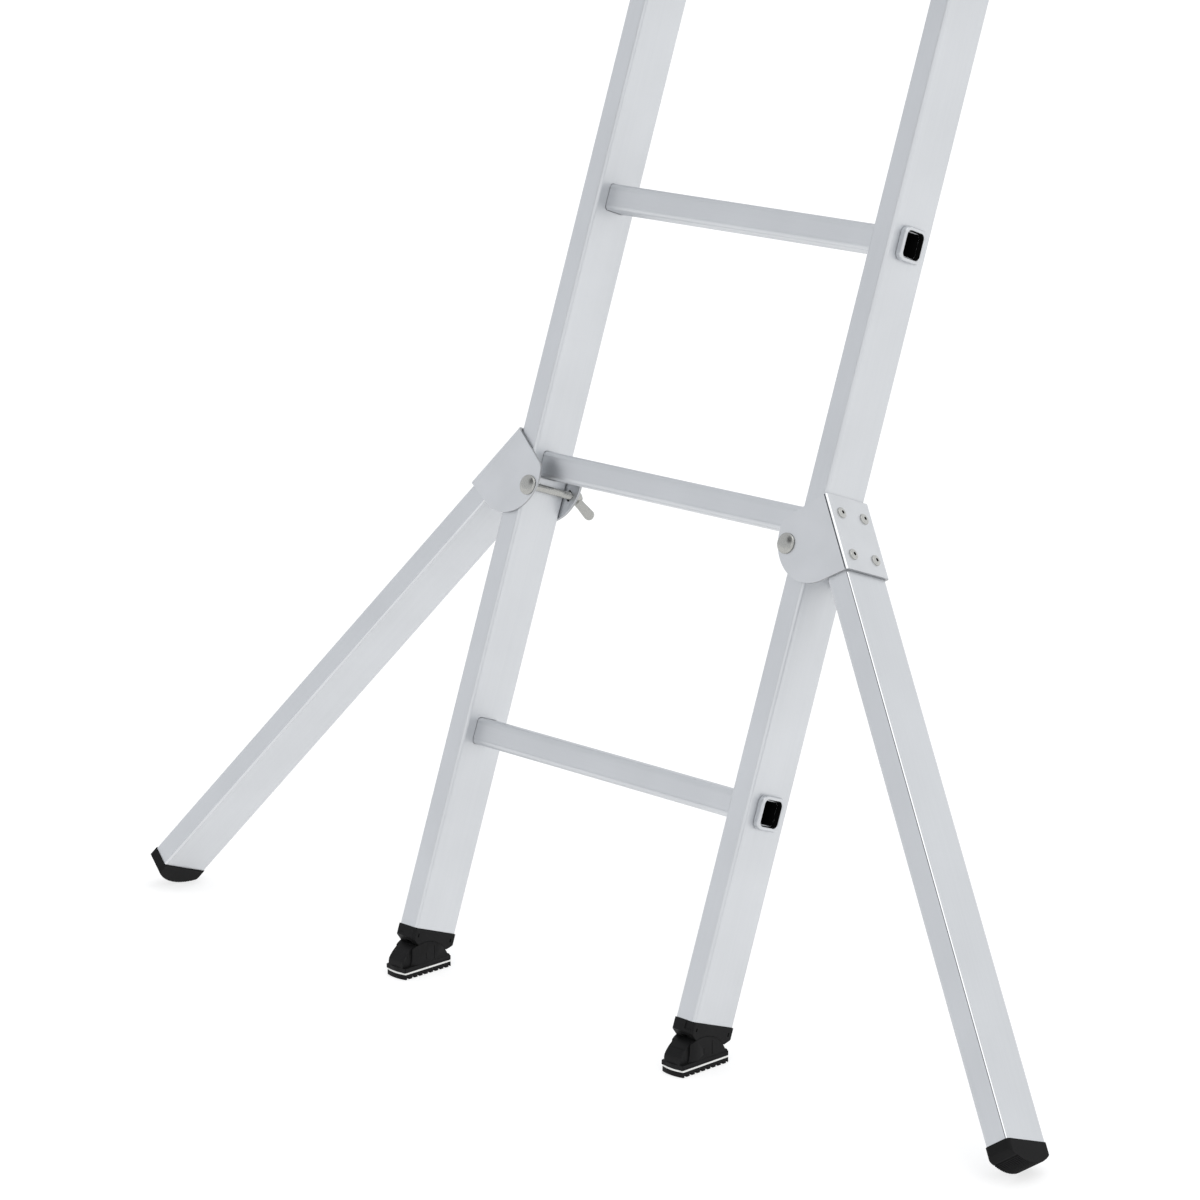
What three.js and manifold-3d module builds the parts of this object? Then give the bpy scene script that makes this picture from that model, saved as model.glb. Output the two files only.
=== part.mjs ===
// Two-section aluminium extension ladder with folding outriggers, in millimetres, +Z up.
//
// The ladder is drawn upright: X runs along the rungs, Y from the climber's side to the wall
// side, and Z up the stiles from the centre line of the lowest base rung. A last group leans
// it back as it is used, with all four soles on the plane Z = 0.
import * as THREE from 'three';
import { mergeVertices } from 'three/addons/utils/BufferGeometryUtils.js';
import Module from 'manifold-3d';

const wasm = await Module();
wasm.setup();

// ---- driving dimensions -------------------------------------------------------------
const LEAN = THREE.MathUtils.degToRad(20);     // stiles lean this far from upright
const GAP = 0.3;                               // air left between pieces that touch
const WIDTH = 420;                             // over the outer faces of the stiles
const STILE = { x: 25, y: 58, wall: 1.8, radius: 3.4 };
const RUNG = { y: 29.3, z: 27.5, radius: 4.5, pitch: 280, perSection: 7 };
const BORE = { y: 23.5, z: 23.5, radius: 3 };  // the rung's own hollow
const COLLAR = { y: 34, z: 34.5, out: 6.5, radius: 8, rim: 1.6, rimInset: 1.5 };
const BASE_DROP = 210;                         // stile below the lowest base rung
const BASE_RISE = 130;                         // stile above the top base rung
const FLY_FIRST_RUNG = 1120;                   // height of the lowest fly rung, hooked
const FLY_DROP = 130;
const FLY_RISE = 130;
const SECTION_GAP = 6;                         // between the base and fly stiles

const SPLAY = THREE.MathUtils.degToRad(36.6);  // outrigger leg from the stile
const LEG = { inner: 328, low: -533.3 };       // across and along the leg's own axes
const LEG_CLEAR_X = 217.8;                     // leg's top end stays outside this plane
const FOOT = { proud: 1.3, wall: 10.2, sag: 12.3 };  // cap, and its rocker's depth below
const BRACKET = { sheet: 3, bend: 4, reach: 60, low: 41, high: 122.9, lobeN: 327, lobeU: 88, lobeR: 43.5 };
const BOLT = { n: 295.8, u: 98.2, shank: 8, head: 20.7, dome: 4, length: 76, neck: 8.4, hole: 9 };
const RIVET = { head: 11.5, dome: 2.4, shank: 6, u: 81, du: 22.5, dy: 17, grip: 6 };
const NUT = {
  low: 8, high: 6.5, length: 9, washer: 2, turn: -48,
  wing: 26, wingWidth: 11, wingSheet: 3.2, wingTilt: 40, wingOut: 3, wingUp: 4,
};

const SHOE = { y: 28.5, z: -254.7, radius: 34, height: 0.4 };
const SOCKET = { low: -227, lip: 1, over: 1, plug: 30, chamferY: 11.8, chamferZ: 6 };
const SOLE = { x: 28, front: -30, back: 34.5, tread: 5, teeth: 9, toothDepth: 2.6, plate: 1.8 };
const FOOT_BODY = {
  nose: 21, x: 27.4, cheekToe: -20.5, cheekTop: -15.3, toe: -29, toeRise: 16,
  heel: 33.5, heelRise: 14, flange: 4.5,
};
const TONGUE = { x: 7, slotX: 8, root: 22, outer: 41.5, pin: 4, pinR: 38, pinX: 18, forward: 27 };

const CAP = { lip: 5, proud: 1, plug: 26 };
const GUIDE = { sheet: 3, inner: 217.5, lip: 194, slack: 0.8, inset: 5, low: 60, high: 105 };
const LOCK = {
  inner: 176.3, outer: 184.3, pivotY: -30, pivotZ: 45, pin: 8, pinHead: 14, headSheet: 3, boss: 10,
  seatFront: 2, nose: 5, noseDrop: 11, noseRise: 8, shoulder: 19,
};

const HALF = WIDTH / 2;
const STILE_IN = HALF - STILE.x;
const RUNG_Y = STILE.y / 2;
const FLY_Y = -SECTION_GAP - STILE.y;          // front face of the fly stiles
const BASE_TOP = (RUNG.perSection - 1) * RUNG.pitch + BASE_RISE;

// ---- materials ----------------------------------------------------------------------
const finish = (color, metalness, roughness) =>
  new THREE.MeshStandardMaterial({ color, metalness, roughness });
const aluminium = () => finish(0xc6c9ce, 0.85, 0.42);
const sheetMetal = () => finish(0xc2c5c9, 0.9, 0.35);
const steel = () => finish(0xacaeab, 0.95, 0.3);
const plastic = () => finish(0x252526, 0, 0.6);
const rubber = () => finish(0x1b1b1c, 0, 0.85);
const wearWhite = () => finish(0xd9d9d6, 0, 0.55);

// ---- outlines -----------------------------------------------------------------------
function arc(cx, cy, radius, fromDeg, toDeg, steps) {
  const points = [];
  for (let i = 0; i <= steps; i += 1) {
    const a = THREE.MathUtils.degToRad(fromDeg + ((toDeg - fromDeg) * i) / steps);
    points.push(new THREE.Vector2(cx + radius * Math.cos(a), cy + radius * Math.sin(a)));
  }
  return points;
}

function corner(x, y) {
  return new THREE.Vector2(x, y);
}

function roundedRect(width, height, radius, steps = 3) {
  const x = width / 2 - radius;
  const y = height / 2 - radius;
  return [
    ...arc(x, y, radius, 0, 90, steps),
    ...arc(-x, y, radius, 90, 180, steps),
    ...arc(-x, -y, radius, 180, 270, steps),
    ...arc(x, -y, radius, 270, 360, steps),
  ];
}

// ---- solids -------------------------------------------------------------------------
function solid(geometry) {
  const bare = geometry.clone();
  bare.deleteAttribute('normal');
  bare.deleteAttribute('uv');
  const merged = mergeVertices(bare, 1e-4);
  return new wasm.Manifold(new wasm.Mesh({
    numProp: 3,
    vertProperties: new Float32Array(merged.attributes.position.array),
    triVerts: new Uint32Array(merged.index.array),
  }));
}

// A prism whose outline lies across one axis, from low to high along that axis.
function prism(axis, outline, low, high) {
  const geometry = new THREE.ExtrudeGeometry(new THREE.Shape(outline), {
    depth: high - low, bevelEnabled: false, curveSegments: 1,
  });
  const basis = new THREE.Matrix4();
  if (axis === 'x') {          // outline in (y, z)
    basis.makeBasis(new THREE.Vector3(0, 1, 0), new THREE.Vector3(0, 0, 1), new THREE.Vector3(1, 0, 0));
    basis.setPosition(low, 0, 0);
  } else if (axis === 'y') {   // outline in (x, z)
    basis.makeBasis(new THREE.Vector3(1, 0, 0), new THREE.Vector3(0, 0, 1), new THREE.Vector3(0, -1, 0));
    basis.setPosition(0, high, 0);
  } else {                     // outline in (x, y)
    basis.setPosition(0, 0, low);
  }
  geometry.applyMatrix4(basis);
  return solid(geometry);
}

// The same prism between two planes given in either order.
function between(axis, outline, a, b) {
  return prism(axis, outline, Math.min(a, b), Math.max(a, b));
}

function block(x0, x1, y0, y1, z0, z1) {
  const geometry = new THREE.BoxGeometry(x1 - x0, y1 - y0, z1 - z0);
  geometry.translate((x0 + x1) / 2, (y0 + y1) / 2, (z0 + z1) / 2);
  return solid(geometry);
}

// A turned piece: the profile is (radius, distance) along the axis, from end to end.
function turned(axis, profile, at, steps = 20) {
  const geometry = new THREE.LatheGeometry(profile, steps);
  if (axis === 'x') geometry.rotateZ(-Math.PI / 2);
  if (axis === 'z') geometry.rotateX(Math.PI / 2);
  geometry.translate(at.x, at.y, at.z);
  return solid(geometry);
}

function rod(axis, radius, low, high, at, steps = 20) {
  const profile = [corner(0, low), corner(radius, low), corner(radius, high), corner(0, high)];
  return turned(axis, profile, at, steps);
}

function shifted(outline, dx, dy) {
  return outline.map((p) => corner(p.x + dx, p.y + dy));
}

function toGeometry(manifold) {
  const mesh = manifold.getMesh();
  const geometry = new THREE.BufferGeometry();
  geometry.setAttribute('position', new THREE.BufferAttribute(new Float32Array(mesh.vertProperties), 3));
  geometry.setIndex(new THREE.BufferAttribute(new Uint32Array(mesh.triVerts), 1));
  return geometry;
}

function mirrored(geometry) {
  const copy = geometry.clone();
  copy.scale(-1, 1, 1);
  const index = copy.index.array;
  for (let i = 0; i < index.length; i += 3) {
    const swap = index[i + 1];
    index[i + 1] = index[i + 2];
    index[i + 2] = swap;
  }
  return copy;
}

// ---- placing ------------------------------------------------------------------------
function place(parent, name, manifold, material, side = 1) {
  let geometry = toGeometry(manifold);
  if (side < 0) geometry = mirrored(geometry);
  geometry = geometry.toNonIndexed();
  geometry.computeVertexNormals();
  const mesh = new THREE.Mesh(geometry, material);
  mesh.name = name;
  parent.add(mesh);
  return mesh;
}

const SIDES = [['right', 1], ['left', -1]];

// ---- stiles and rungs ---------------------------------------------------------------
// The right stile of a section, drawn round its own rungs; y is that of its front face.
function stile(frontY, low, high, firstRung) {
  const x = HALF - STILE.x / 2;
  const y = frontY + STILE.y / 2;
  const outer = shifted(roundedRect(STILE.x, STILE.y, STILE.radius, 2), x, y);
  const innerX = STILE.x - 2 * STILE.wall;
  const innerY = STILE.y - 2 * STILE.wall;
  const inner = shifted(roundedRect(innerX, innerY, STILE.radius - STILE.wall, 1), x, y);
  let body = prism('z', outer, low, high).subtract(prism('z', inner, low - 1, high + 1));
  const hole = roundedRect(RUNG.y + 2 * GAP, RUNG.z + 2 * GAP, BORE.radius, 1);
  for (let i = 0; i < RUNG.perSection; i += 1) {
    const z = firstRung + i * RUNG.pitch;
    body = body.subtract(prism('x', shifted(hole, y, z), STILE_IN - 1, HALF + 1));
  }
  return body;
}

// One rung about its own centre: a box tube whose ends are pressed out into round collars.
function rung() {
  const tube = roundedRect(RUNG.y, RUNG.z, RUNG.radius, 2);
  const bore = roundedRect(BORE.y, BORE.z, BORE.radius, 1);
  const collar = roundedRect(COLLAR.y, COLLAR.z, COLLAR.radius, 2);
  const rimY = COLLAR.y - 2 * COLLAR.rimInset;
  const rimZ = COLLAR.z - 2 * COLLAR.rimInset;
  const rim = roundedRect(rimY, rimZ, COLLAR.radius - COLLAR.rimInset, 2);
  const end = HALF + COLLAR.out;
  let body = prism('x', tube, -end, end);
  for (const side of [1, -1]) {
    body = body.add(between('x', collar, side * (HALF + GAP), side * (end - COLLAR.rim)));
    body = body.add(between('x', rim, side * (HALF + GAP), side * end));
  }
  return body.subtract(prism('x', bore, -end - 1, end + 1));
}

// A plug with a lip that closes one end of a right stile; up is +1 at the top, -1 at the foot.
function endCap(frontY, endZ, up) {
  const x = HALF - STILE.x / 2;
  const y = frontY + STILE.y / 2;
  const lip = roundedRect(STILE.x + 2 * CAP.proud, STILE.y + 2 * CAP.proud, STILE.radius + CAP.proud, 2);
  const seat = endZ + up * GAP;
  const outside = seat + up * CAP.lip;
  const head = between('z', shifted(lip, x, y), seat, outside);
  return head.add(between('z', plugOutline(x, y), endZ - up * CAP.plug, outside));
}

// The outline of a plug that slides into a stile or leg centred on (x, y).
function plugOutline(x, y) {
  const plugX = STILE.x - 2 * STILE.wall - 2 * GAP;
  const plugY = STILE.y - 2 * STILE.wall - 2 * GAP;
  return shifted(roundedRect(plugX, plugY, STILE.radius - STILE.wall, 1), x, y);
}

// ---- guides between the sections ----------------------------------------------------
// A bent plate on the outside of one stile that hooks round the stile of the other section.
// It is carried by the stile between frontY and backY; farY is the face that its lip wraps.
function guide(frontY, backY, farY, z0, z1) {
  const toFar = Math.sign(farY - frontY);
  const lipNear = farY + toFar * GUIDE.slack;
  const lipFar = lipNear + toFar * GUIDE.sheet;
  const out = GUIDE.inner + GUIDE.sheet;
  const front = frontY + GUIDE.inset;
  const back = backY - GUIDE.inset;
  const start = toFar < 0 ? back : front;
  const plate = block(GUIDE.inner, out, Math.min(lipFar, start), Math.max(lipFar, start), z0, z1);
  const lip = block(GUIDE.lip, out, Math.min(lipNear, lipFar), Math.max(lipNear, lipFar), z0, z1);
  return plate.add(lip).add(block(HALF + GAP, out, front, back, z0, z1));
}

// ---- rung lock ----------------------------------------------------------------------
// A plate on the fly stile's inner face whose nose sits over a rung of the base.
function rungLock(rungZ) {
  const seat = rungZ + RUNG.z / 2 + GAP;
  const pivotZ = rungZ + LOCK.pivotZ;
  const back = RUNG_Y + RUNG.y / 2 + GAP;
  const outline = [
    ...arc(LOCK.pivotY, pivotZ, LOCK.boss, 70, 235, 6),
    corner(RUNG_Y - RUNG.y / 2 - LOCK.seatFront, seat),
    corner(back, seat),
    corner(back, seat - LOCK.noseDrop),
    corner(back + LOCK.nose, seat - LOCK.noseDrop),
    corner(back + LOCK.nose + 1.5, seat + LOCK.noseRise),
    corner(back - LOCK.nose - 1, seat + LOCK.shoulder),
  ];
  const plate = prism('x', outline, LOCK.inner, LOCK.outer);
  const at = new THREE.Vector3(0, LOCK.pivotY, pivotZ);
  return plate.subtract(rod('x', LOCK.pin / 2 + GAP, LOCK.inner - 1, LOCK.outer + 1, at));
}

function lockPin(rungZ) {
  const at = new THREE.Vector3(0, LOCK.pivotY, rungZ + LOCK.pivotZ);
  const end = LOCK.inner - LOCK.headSheet;
  const shank = rod('x', LOCK.pin / 2, end, STILE_IN + 2 * LOCK.headSheet, at);
  return shank.add(rod('x', LOCK.pinHead / 2, end, LOCK.inner - GAP, at));
}

// ---- outrigger ----------------------------------------------------------------------
// Drawn on the leg's own axes: X across the leg (n), Y as the ladder's, Z up the leg (u).
function bracketOutline(outer) {
  const cut = BRACKET.high;
  const toTop = THREE.MathUtils.radToDeg(Math.asin((cut - BRACKET.lobeU) / BRACKET.lobeR));
  return [
    corner(outer, BRACKET.low),
    corner(outer, cut),
    ...arc(BRACKET.lobeN, BRACKET.lobeU, BRACKET.lobeR, 180 - toTop, 266, 18),
  ];
}

function bracket() {
  const web = LEG.inner + STILE.x + GAP;
  const outer = web + BRACKET.sheet;
  const near = -GAP;
  const far = STILE.y + GAP;
  const bend = BRACKET.bend;
  const open = LEG.inner - BRACKET.reach;
  const around = [
    corner(open, near - BRACKET.sheet),
    ...arc(outer - bend, near - BRACKET.sheet + bend, bend, -90, 0, 4),
    ...arc(outer - bend, far + BRACKET.sheet - bend, bend, 0, 90, 4),
    corner(open, far + BRACKET.sheet),
  ];
  const inside = block(open - 1, web, near, far, BRACKET.low - 1, BRACKET.high + 1);
  let body = prism('y', bracketOutline(outer), near - BRACKET.sheet, far + BRACKET.sheet);
  body = body.intersect(prism('z', around, BRACKET.low - 1, BRACKET.high + 1)).subtract(inside);
  const half = BOLT.hole / 2;
  body = body.subtract(block(BOLT.n - half, BOLT.n + half, near - 5, far + 5, BOLT.u - half, BOLT.u + half));
  for (const at of rivetPlaces()) {
    body = body.subtract(rod('x', RIVET.shank / 2 + GAP, web - 1, outer + 1, at, 8));
  }
  return body;
}

function rivetPlaces() {
  const places = [];
  for (const du of [RIVET.du, -RIVET.du]) {
    for (const dy of [-RIVET.dy, RIVET.dy]) {
      places.push(new THREE.Vector3(0, RUNG_Y + dy, RIVET.u + du));
    }
  }
  return places;
}

function rivet(at) {
  const seat = LEG.inner + STILE.x + 2 * GAP + BRACKET.sheet;
  const dome = [
    corner(0, seat), corner(RIVET.head / 2, seat), corner(RIVET.head / 2, seat + 0.7),
    corner(RIVET.head * 0.36, seat + RIVET.dome * 0.8), corner(1.5, seat + RIVET.dome),
    corner(1.5, seat + 0.4), corner(0, seat + 0.4),
  ];
  return turned('x', dome, at, 12).add(rod('x', RIVET.shank / 2, seat - RIVET.grip, seat + 0.2, at, 8));
}

function leg() {
  const n = LEG.inner + STILE.x / 2;
  const y = STILE.y / 2;
  const high = BRACKET.high;
  const outer = shifted(roundedRect(STILE.x, STILE.y, STILE.radius), n, y);
  const innerX = STILE.x - 2 * STILE.wall;
  const innerY = STILE.y - 2 * STILE.wall;
  const inner = shifted(roundedRect(innerX, innerY, STILE.radius - STILE.wall, 2), n, y);
  let body = prism('z', outer, LEG.low, high).subtract(prism('z', inner, LEG.low - 1, high + 1));
  // The top end is cut parallel to the stile, clear of the rung's collar.
  const reach = 400;
  const mitre = block(-reach, LEG_CLEAR_X, -reach, reach, -reach, 3 * reach);
  body = body.subtract(mitre.transform(toLegAxes()));
  for (const at of rivetPlaces()) {
    const web = LEG.inner + STILE.x;
    body = body.subtract(rod('x', RIVET.shank / 2 + GAP, web - STILE.wall - 1, web + 1, at, 8));
  }
  return body;
}

// Column-major 4 x 4 matrix that turns ladder axes into the leg's axes.
function toLegAxes() {
  return new THREE.Matrix4().makeRotationY(SPLAY).toArray();
}

// The rubber cap on the leg: a short wall, then a rocker rounded from front to back.
function outriggerFoot() {
  const n = LEG.inner + STILE.x / 2;
  const halfY = STILE.y / 2 + FOOT.proud;
  const lip = roundedRect(2 * (n - LEG.inner + FOOT.proud), 2 * halfY, STILE.radius + 1, 3);
  const edge = LEG.low - FOOT.wall;
  const low = edge - FOOT.sag;
  const radius = (halfY ** 2 + FOOT.sag ** 2) / (2 * FOOT.sag);
  const reach = THREE.MathUtils.radToDeg(Math.asin(halfY / radius));
  const rocker = [
    corner(RUNG_Y - halfY, LEG.low - GAP),
    ...arc(RUNG_Y, low + radius, radius, 270 - reach, 270 + reach, 20),
    corner(RUNG_Y + halfY, LEG.low - GAP),
  ];
  const head = prism('z', shifted(lip, n, RUNG_Y), low, LEG.low - GAP);
  const plug = prism('z', plugOutline(n, RUNG_Y), LEG.low - 2, LEG.low + CAP.plug);
  return head.intersect(prism('x', rocker, LEG.inner - STILE.x, LEG.inner + 2 * STILE.x)).add(plug);
}

function clampBolt() {
  const seat = -2 * GAP - BRACKET.sheet;
  const at = new THREE.Vector3(BOLT.n, 0, BOLT.u);
  const r = BOLT.head / 2;
  const head = [
    corner(0, seat), corner(r, seat), corner(r, seat - 0.8), corner(r * 0.82, seat - 2.2),
    corner(r * 0.5, seat - 3.4), corner(0, seat - BOLT.dome),
  ].reverse();
  const half = BOLT.neck / 2;
  const neck = block(BOLT.n - half, BOLT.n + half, seat - 0.5, 0, BOLT.u - half, BOLT.u + half);
  return turned('y', head, at, 28).add(neck).add(rod('y', BOLT.shank / 2, -1, BOLT.length, at, 20));
}

function wingNut() {
  const seat = STILE.y + GAP + BRACKET.sheet + NUT.washer;
  const top = seat + NUT.length;
  const at = new THREE.Vector3(0, 0, 0);
  const profile = [corner(0, seat), corner(NUT.low, seat), corner(NUT.high, top), corner(0, top)];
  const half = NUT.wingWidth / 2;
  const outline = [...arc(NUT.wing - half, 0, half, -90, 90, 8), corner(0, half - 1), corner(0, 1 - half)];
  let body = turned('y', profile, at, 24);
  for (const side of [1, -1]) {
    const wing = prism('y', outline, -NUT.wingSheet / 2, NUT.wingSheet / 2);
    const place = new THREE.Matrix4().makeTranslation(side * NUT.wingOut, seat + NUT.wingUp, 0);
    place.multiply(new THREE.Matrix4().makeRotationZ(side * THREE.MathUtils.degToRad(NUT.wingTilt)));
    place.multiply(new THREE.Matrix4().makeRotationY(side > 0 ? 0 : Math.PI));
    body = body.add(wing.transform(place.toArray()));
  }
  return body.subtract(rod('y', BOLT.shank / 2 + GAP, seat - 1, top + 1, at, 20));
}

// ---- levelling shoe -----------------------------------------------------------------
// Socket in the right stile's foot, with the round saddle that the shoe rocks in.
function shoeSocket() {
  const x = HALF - STILE.x / 2;
  const lip = roundedRect(STILE.x + 2 * SOCKET.lip, STILE.y + 2 * SOCKET.lip, STILE.radius);
  let body = prism('z', shifted(lip, x, RUNG_Y), SOCKET.low, -BASE_DROP - GAP);
  body = body.add(prism('z', plugOutline(x, RUNG_Y), -BASE_DROP - 2, -BASE_DROP + SOCKET.plug));
  for (const [edge, inward] of [[-SOCKET.lip - 1, 1], [STILE.y + SOCKET.lip + 1, -1]]) {
    const chamfer = [
      corner(edge, SOCKET.low - 1), corner(edge + inward * SOCKET.chamferY, SOCKET.low - 1),
      corner(edge + inward * 3, SOCKET.low + SOCKET.chamferZ - 1), corner(edge, SOCKET.low + SOCKET.chamferZ),
    ];
    body = body.subtract(prism('x', chamfer, STILE_IN - 5, HALF + 5));
  }
  const axis = new THREE.Vector3(0, SHOE.y, SHOE.z);
  body = body.subtract(rod('x', SHOE.radius, STILE_IN - 5, HALF + 5, axis, 64));
  const slot = shifted(sector(TONGUE.outer + 2 * GAP, 52, 128), SHOE.y, SHOE.z);
  body = body.subtract(prism('x', slot, x - TONGUE.slotX / 2, x + TONGUE.slotX / 2));
  const pin = new THREE.Vector3(0, SHOE.y, SHOE.z + TONGUE.pinR);
  const half = TONGUE.pinX / 2 + 0.5;
  return body.subtract(rod('x', TONGUE.pin / 2 + GAP, x - half, x + half, pin, 16));
}

// A ring sector round the rocking axis, from inside the shoe's body out to radius.
function sector(radius, fromDeg, toDeg) {
  return [...arc(0, 0, TONGUE.root, toDeg, fromDeg, 6), ...arc(0, 0, radius, fromDeg, toDeg, 12)];
}

function shoePin() {
  const x = HALF - STILE.x / 2;
  const at = new THREE.Vector3(0, SHOE.y, SHOE.z + TONGUE.pinR);
  return rod('x', TONGUE.pin / 2, x - TONGUE.pinX / 2, x + TONGUE.pinX / 2, at, 16);
}

// The shoe's own axes: origin on the rocking axis, Y level to the back, Z up from the floor.
function soleOutline(x) {
  const half = SOLE.x / 2;
  return [
    corner(x + half, SOLE.front + 2.5), corner(x + half, SOLE.back), corner(x - half, SOLE.back),
    corner(x - half, SOLE.front + 2.5), corner(x - half * 0.5, SOLE.front + 0.5),
    corner(x, SOLE.front), corner(x + half * 0.5, SOLE.front + 0.5),
  ];
}

function shoeFoot() {
  const x = HALF - STILE.x / 2;
  const low = SOLE.tread + SOLE.plate + 2 * GAP - SHOE.height;
  const profile = [
    corner(FOOT_BODY.toe, low), corner(FOOT_BODY.heel, low), corner(FOOT_BODY.heel, FOOT_BODY.heelRise),
    ...arc(0, 0, SHOE.radius - GAP, 25.5, 147, 24), corner(FOOT_BODY.toe, FOOT_BODY.toeRise),
  ];
  const nose = FOOT_BODY.nose / 2;
  const half = FOOT_BODY.x / 2;
  let body = prism('x', profile, x - half, x + half);
  // The cheeks stop short of the toe, so that the nose is narrower than the sole.
  const front = [
    corner(FOOT_BODY.toe - 1, low - 1), corner(FOOT_BODY.cheekToe, low - 1),
    corner(FOOT_BODY.cheekToe, low + FOOT_BODY.flange), corner(FOOT_BODY.cheekTop, SHOE.radius - 4),
    corner(FOOT_BODY.cheekTop, SHOE.radius), corner(FOOT_BODY.toe - 1, SHOE.radius),
  ];
  for (const [from, to] of [[x - half - 1, x - nose], [x + nose, x + half + 1]]) {
    body = body.subtract(prism('x', front, from, to));
  }
  body = body.add(prism('z', soleOutline(x), low, low + FOOT_BODY.flange));
  // The tongue reaches up into the socket; the pin runs in its curved slot.
  const past = 2.2 * TONGUE.pin;
  const tongue = sector(TONGUE.outer, 90 - TONGUE.forward - past, 90 + past);
  body = body.add(prism('x', tongue, x - TONGUE.x / 2, x + TONGUE.x / 2));
  const reach = TONGUE.pin / 2 + GAP;
  const spare = 3.6;
  const slot = [
    ...arc(0, 0, TONGUE.pinR + reach, 90 - TONGUE.forward - spare, 90 + spare, 12),
    ...arc(0, 0, TONGUE.pinR - reach, 90 + spare, 90 - TONGUE.forward - spare, 12),
  ];
  return body.subtract(prism('x', slot, x - TONGUE.x, x + TONGUE.x));
}

function wearPlate() {
  const low = SOLE.tread + GAP - SHOE.height;
  return prism('z', soleOutline(HALF - STILE.x / 2), low, low + SOLE.plate);
}

function tread() {
  const x = HALF - STILE.x / 2;
  const pitch = (SOLE.back - SOLE.front) / SOLE.teeth;
  const top = SOLE.toothDepth - SHOE.height;
  let body = prism('z', soleOutline(x), -SHOE.height, SOLE.tread - SHOE.height);
  for (let i = 0; i < SOLE.teeth; i += 1) {
    const back = SOLE.front + (i + 0.99) * pitch;
    const front = SOLE.front + (i + 0.57) * pitch;
    body = body.subtract(block(x - SOLE.x, x + SOLE.x, front, back, -SHOE.height - 1, top));
  }
  return body;
}

// ---- assembly -----------------------------------------------------------------------
function addSection(ladder, name, frontY, low, high, firstRung) {
  for (const [word, side] of SIDES) {
    let body = stile(frontY, low, high, firstRung);
    if (name === 'fly') {
      const at = new THREE.Vector3(0, LOCK.pivotY, firstRung + LOCK.pivotZ);
      body = body.subtract(rod('x', LOCK.pin / 2 + GAP, STILE_IN - 1, STILE_IN + STILE.wall + 1, at));
    }
    place(ladder, `${name}_stile_${word}`, body, aluminium(), side);
    place(ladder, `${name}_top_cap_${word}`, endCap(frontY, high, 1), plastic(), side);
  }
  for (let i = 0; i < RUNG.perSection; i += 1) {
    const mesh = place(ladder, `${name}_rung_${i + 1}`, rung(), aluminium());
    mesh.position.set(0, frontY + STILE.y / 2, firstRung + i * RUNG.pitch);
  }
}

function addBaseFittings(ladder) {
  for (const [word, side] of SIDES) {
    const wrap = guide(0, STILE.y, FLY_Y, BASE_TOP - GUIDE.high, BASE_TOP - GUIDE.low);
    place(ladder, `base_guide_${word}`, wrap, sheetMetal(), side);
    place(ladder, `shoe_socket_${word}`, shoeSocket(), plastic(), side);
    place(ladder, `shoe_pin_${word}`, shoePin(), steel(), side);
    const shoe = new THREE.Group();
    shoe.position.set(0, SHOE.y, SHOE.z);
    shoe.rotation.x = LEAN;
    ladder.add(shoe);
    place(shoe, `shoe_foot_${word}`, shoeFoot(), plastic(), side);
    place(shoe, `shoe_wear_plate_${word}`, wearPlate(), wearWhite(), side);
    place(shoe, `shoe_tread_${word}`, tread(), rubber(), side);
  }
}

function addFlyFittings(ladder) {
  const low = FLY_FIRST_RUNG - FLY_DROP;
  for (const [word, side] of SIDES) {
    place(ladder, `fly_bottom_cap_${word}`, endCap(FLY_Y, low, -1), plastic(), side);
    const wrap = guide(FLY_Y, FLY_Y + STILE.y, STILE.y, low + 10, low + 10 + GUIDE.high - GUIDE.low);
    place(ladder, `fly_guide_${word}`, wrap, sheetMetal(), side);
    place(ladder, `rung_lock_${word}`, rungLock(FLY_FIRST_RUNG), steel(), side);
    place(ladder, `lock_pin_${word}`, lockPin(FLY_FIRST_RUNG), steel(), side);
  }
}

function addOutriggers(ladder) {
  for (const [word, side] of SIDES) {
    const outrigger = new THREE.Group();
    outrigger.rotation.y = -side * SPLAY;
    ladder.add(outrigger);
    place(outrigger, `outrigger_bracket_${word}`, bracket(), sheetMetal(), side);
    place(outrigger, `outrigger_leg_${word}`, leg(), aluminium(), side);
    place(outrigger, `outrigger_foot_${word}`, outriggerFoot(), rubber(), side);
    place(outrigger, `clamp_bolt_${word}`, clampBolt(), steel(), side);
    rivetPlaces().forEach((at, i) => {
      place(outrigger, `bracket_rivet_${word}_${i + 1}`, rivet(at), steel(), side);
    });
    const nut = place(outrigger, `wing_nut_${word}`, wingNut(), steel(), side);
    nut.position.set(side * BOLT.n, 0, BOLT.u);
    nut.rotation.y = side * (SPLAY + THREE.MathUtils.degToRad(NUT.turn));
  }
}

function buildLadder() {
  const upright = new THREE.Group();
  addSection(upright, 'base', 0, -BASE_DROP, BASE_TOP, 0);
  const flyLow = FLY_FIRST_RUNG - FLY_DROP;
  const flyHigh = FLY_FIRST_RUNG + (RUNG.perSection - 1) * RUNG.pitch + FLY_RISE;
  addSection(upright, 'fly', FLY_Y, flyLow, flyHigh, FLY_FIRST_RUNG);
  addBaseFittings(upright);
  addFlyFittings(upright);
  addOutriggers(upright);
  upright.rotation.x = -LEAN;

  const standing = new THREE.Group();
  standing.add(upright);
  standing.updateMatrixWorld(true);
  const box = new THREE.Box3().setFromObject(standing, true);
  const centre = box.getCenter(new THREE.Vector3());
  upright.position.set(-centre.x, -centre.y, -box.min.z);
  return standing;
}

export default buildLadder();
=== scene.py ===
import math

import bmesh
import bpy
from mathutils import Matrix, Vector


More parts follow.
